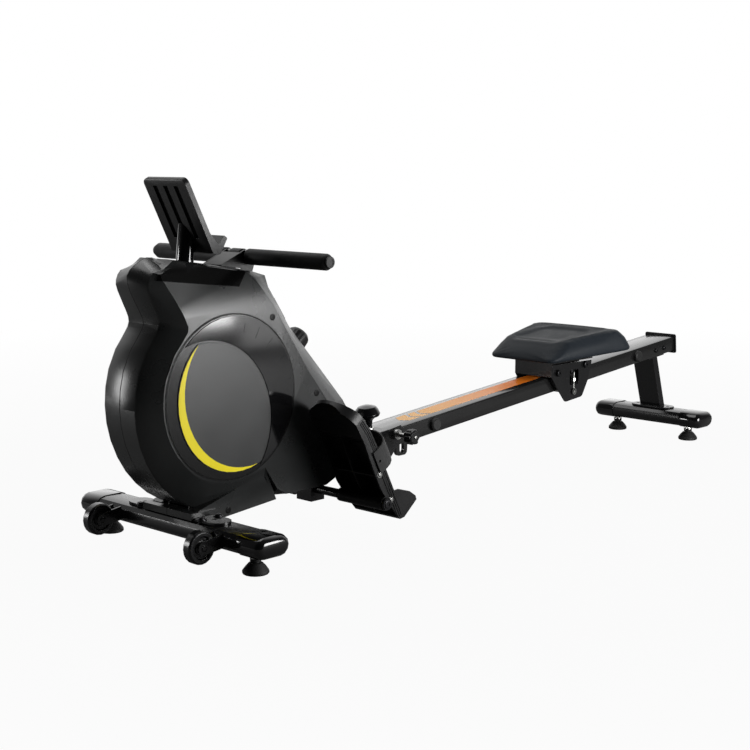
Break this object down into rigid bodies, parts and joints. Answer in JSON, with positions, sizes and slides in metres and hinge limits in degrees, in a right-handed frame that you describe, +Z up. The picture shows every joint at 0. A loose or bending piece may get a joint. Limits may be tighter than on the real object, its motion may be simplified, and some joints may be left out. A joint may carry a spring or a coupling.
{
  "type": "magnetic rowing machine",
  "caption": "Fold-up magnetic rowing machine: rounded drive housing, tilting strapped footplates, sloping rail with sliding moulded seat, wide pull handle on a strap, tablet holder, cross feet.",
  "frame": {"origin": "centre of the machine's bounding box in X and Y, on the floor in Z", "axes": "+X from the drive housing towards the rear foot along the rail, +Z up, -Y towards the side with the hand knob"},
  "size_m": [1.739, 0.5196, 0.6825],
  "materials": {
    "steel_black": "satin",
    "rail_grey": "satin",
    "housing": "fine texture",
    "disc": "matte",
    "gloss": "gloss",
    "moulded": "matte",
    "pedal": "matte",
    "rubber": "matte",
    "tyre": "matte",
    "grip": "foam",
    "webbing": "woven",
    "seat": "moulded foam skin",
    "yellow": "satin",
    "zinc": "zinc plated",
    "cast_iron": "turned"
  },
  "bodies": {
    "frame": {"front_stabilizer": "steel_black", "front_cap_left": "gloss", "front_cap_right": "gloss", "main_frame": "steel_black", "pedal_crossbar": "zinc", "housing_left": "housing", "housing_right": "housing", "disc_cover_left": "disc", "disc_cover_right": "disc", "ring_trim_left": "gloss", "ring_trim_right": "gloss", "accent_left": "yellow", "accent_right": "yellow", "top_cap": "gloss", "flywheel_axle": "zinc", "drive_belt": "rubber", "rewind_spring": "zinc", "strap_hood": "moulded", "tablet_holder": "moulded", "holder_column": "gloss", "tension_dial_base": "moulded", "console": "gloss", "pivot_bolt": "zinc"},
    "rail_body": {"rail": "rail_grey", "rail_end_cap": "moulded", "rail_bumper_front": "rubber", "rail_bumper_rear": "rubber", "rear_upright": "steel_black", "rear_stabilizer": "steel_black", "rear_cap_left": "gloss", "rear_cap_right": "gloss"},
    "seat": {"seat_cushion": "seat", "seat_base": "moulded", "carriage": "steel_black"},
    "roller_front": {"roller_front": "zinc"},
    "roller_rear": {"roller_rear": "zinc"},
    "roller_lower": {"roller_lower": "zinc"},
    "handle": {"handle_bar": "steel_black", "handle_grip_left": "grip", "handle_grip_right": "grip", "pull_strap": "webbing"},
    "reel": {"strap_reel": "moulded"},
    "drive_wheel": {"drive_wheel": "moulded"},
    "flywheel": {"flywheel": "cast_iron"},
    "guide_roller": {"guide_roller": "moulded"},
    "magnets": {"magnet_bracket": "zinc"},
    "tension_knob": {"tension_knob": "moulded"},
    "console_button": {"console_button": "yellow"},
    "pedal_left": {"foot_plate_left": "pedal", "foot_strap_left": "webbing"},
    "pedal_right": {"foot_plate_right": "pedal", "foot_strap_right": "webbing"},
    "wheel_left": {"transport_wheel_left": "tyre"},
    "wheel_right": {"transport_wheel_right": "tyre"},
    "front_foot_left": {"front_foot_left": "rubber"},
    "front_foot_right": {"front_foot_right": "rubber"},
    "rear_foot_left": {"rear_foot_left": "rubber"},
    "rear_foot_right": {"rear_foot_right": "rubber"},
    "hand_knob": {"hand_knob": "moulded"},
    "lock_knob": {"lock_knob": "gloss"}
  },
  "joints": [
    {"name": "rail_fold", "type": "hinge", "parent": "frame", "child": "rail_body", "pos_m": [-0.2065, 0, 0.15003], "axis": [0, -1, 0], "range_deg": [0, 85]},
    {"name": "seat_slide", "type": "slide", "parent": "rail_body", "child": "seat", "axis": [0.9958, 0, 0.0911], "range_m": [-0.39, 0.2]},
    {"name": "roller_front_turn", "type": "hinge", "parent": "seat", "child": "roller_front", "pos_m": [0.33997, 0, 0.219], "axis": [0, 1, 0], "range_deg": [-2700, 1400]},
    {"name": "roller_rear_turn", "type": "hinge", "parent": "seat", "child": "roller_rear", "pos_m": [0.44697, 0, 0.22879], "axis": [0, 1, 0], "range_deg": [-2700, 1400]},
    {"name": "roller_lower_turn", "type": "hinge", "parent": "seat", "child": "roller_lower", "pos_m": [0.40203, 0, 0.16885], "axis": [0, 1, 0], "range_deg": [-1400, 2700]},
    {"name": "handle_pull", "type": "slide", "parent": "frame", "child": "handle", "axis": [1, 0, 0], "range_m": [0, 0.9], "stiffness_N_per_m": 40, "springref_m": -0.25, "deforming": ["pull_strap"]},
    {"name": "reel_turn", "type": "hinge", "parent": "frame", "child": "reel", "pos_m": [-0.6425, 0, 0.452], "axis": [0, 1, 0], "range_deg": [0, 1720]},
    {"name": "drive_wheel_turn", "type": "hinge", "parent": "frame", "child": "drive_wheel", "pos_m": [-0.6675, 0, 0.285], "axis": [0, 1, 0], "range_deg": [0, 4590]},
    {"name": "guide_roller_turn", "type": "hinge", "parent": "frame", "child": "guide_roller", "pos_m": [-0.62, 0, 0.5215], "axis": [0, 1, 0], "range_deg": [0, 9380]},
    {"name": "flywheel_spin", "type": "hinge", "parent": "frame", "child": "flywheel", "pos_m": [-0.6675, 0, 0.285], "axis": [0, 1, 0], "continuous": true},
    {"name": "tension_turn", "type": "hinge", "parent": "frame", "child": "tension_knob", "pos_m": [-0.46061, 0, 0.35205], "axis": [0.7376, 0, 0.6752], "range_deg": [0, 300]},
    {"name": "magnet_swing", "type": "hinge", "parent": "frame", "child": "magnets", "pos_m": [-0.5505, 0, 0.2], "axis": [0, 1, 0], "range_deg": [0, 6]},
    {"name": "pedal_tilt_left", "type": "hinge", "parent": "frame", "child": "pedal_left", "pos_m": [-0.4095, 0, 0.065], "axis": [0, 1, 0], "range_deg": [-15, 25]},
    {"name": "pedal_tilt_right", "type": "hinge", "parent": "frame", "child": "pedal_right", "pos_m": [-0.4095, 0, 0.065], "axis": [0, 1, 0], "range_deg": [-15, 25]},
    {"name": "wheel_left_spin", "type": "hinge", "parent": "frame", "child": "wheel_left", "pos_m": [-0.8165, -0.146, 0.0495], "axis": [0, 1, 0], "continuous": true},
    {"name": "wheel_right_spin", "type": "hinge", "parent": "frame", "child": "wheel_right", "pos_m": [-0.8165, 0.146, 0.0495], "axis": [0, 1, 0], "continuous": true},
    {"name": "front_foot_left_turn", "type": "hinge", "parent": "frame", "child": "front_foot_left", "pos_m": [-0.7425, -0.209, 0], "axis": [0, 0, 1], "continuous": true},
    {"name": "front_foot_right_turn", "type": "hinge", "parent": "frame", "child": "front_foot_right", "pos_m": [-0.7425, 0.209, 0], "axis": [0, 0, 1], "continuous": true},
    {"name": "rear_foot_left_turn", "type": "hinge", "parent": "rail_body", "child": "rear_foot_left", "pos_m": [0.8305, -0.107, 0], "axis": [0, 0, 1], "continuous": true},
    {"name": "rear_foot_right_turn", "type": "hinge", "parent": "rail_body", "child": "rear_foot_right", "pos_m": [0.8305, 0.107, 0], "axis": [0, 0, 1], "continuous": true},
    {"name": "hand_knob_turn", "type": "hinge", "parent": "frame", "child": "hand_knob", "pos_m": [-0.2065, -0.088, 0.15003], "axis": [0, -1, 0], "continuous": true},
    {"name": "lock_pull", "type": "slide", "parent": "frame", "child": "lock_knob", "axis": [-0.0911, 0, 0.9958], "range_m": [0, 0.012], "stiffness_N_per_m": 800, "springref_m": -0.01},
    {"name": "button_press", "type": "slide", "parent": "frame", "child": "console_button", "axis": [-0.8321, 0, -0.5547], "range_m": [0, 0.0012], "stiffness_N_per_m": 800, "springref_m": -0.001}
  ],
  "couplings": [
    {"joint": "roller_front_turn", "follows": "seat_slide", "rad_per_m": 117.65},
    {"joint": "roller_rear_turn", "follows": "seat_slide", "rad_per_m": 117.65},
    {"joint": "roller_lower_turn", "follows": "seat_slide", "rad_per_m": -117.65},
    {"joint": "reel_turn", "follows": "handle_pull", "rad_per_m": 33.333},
    {"joint": "drive_wheel_turn", "follows": "handle_pull", "rad_per_m": 88.889},
    {"joint": "guide_roller_turn", "follows": "handle_pull", "rad_per_m": 181.82},
    {"joint": "magnet_swing", "follows": "tension_turn", "ratio": 0.02}
  ]
}
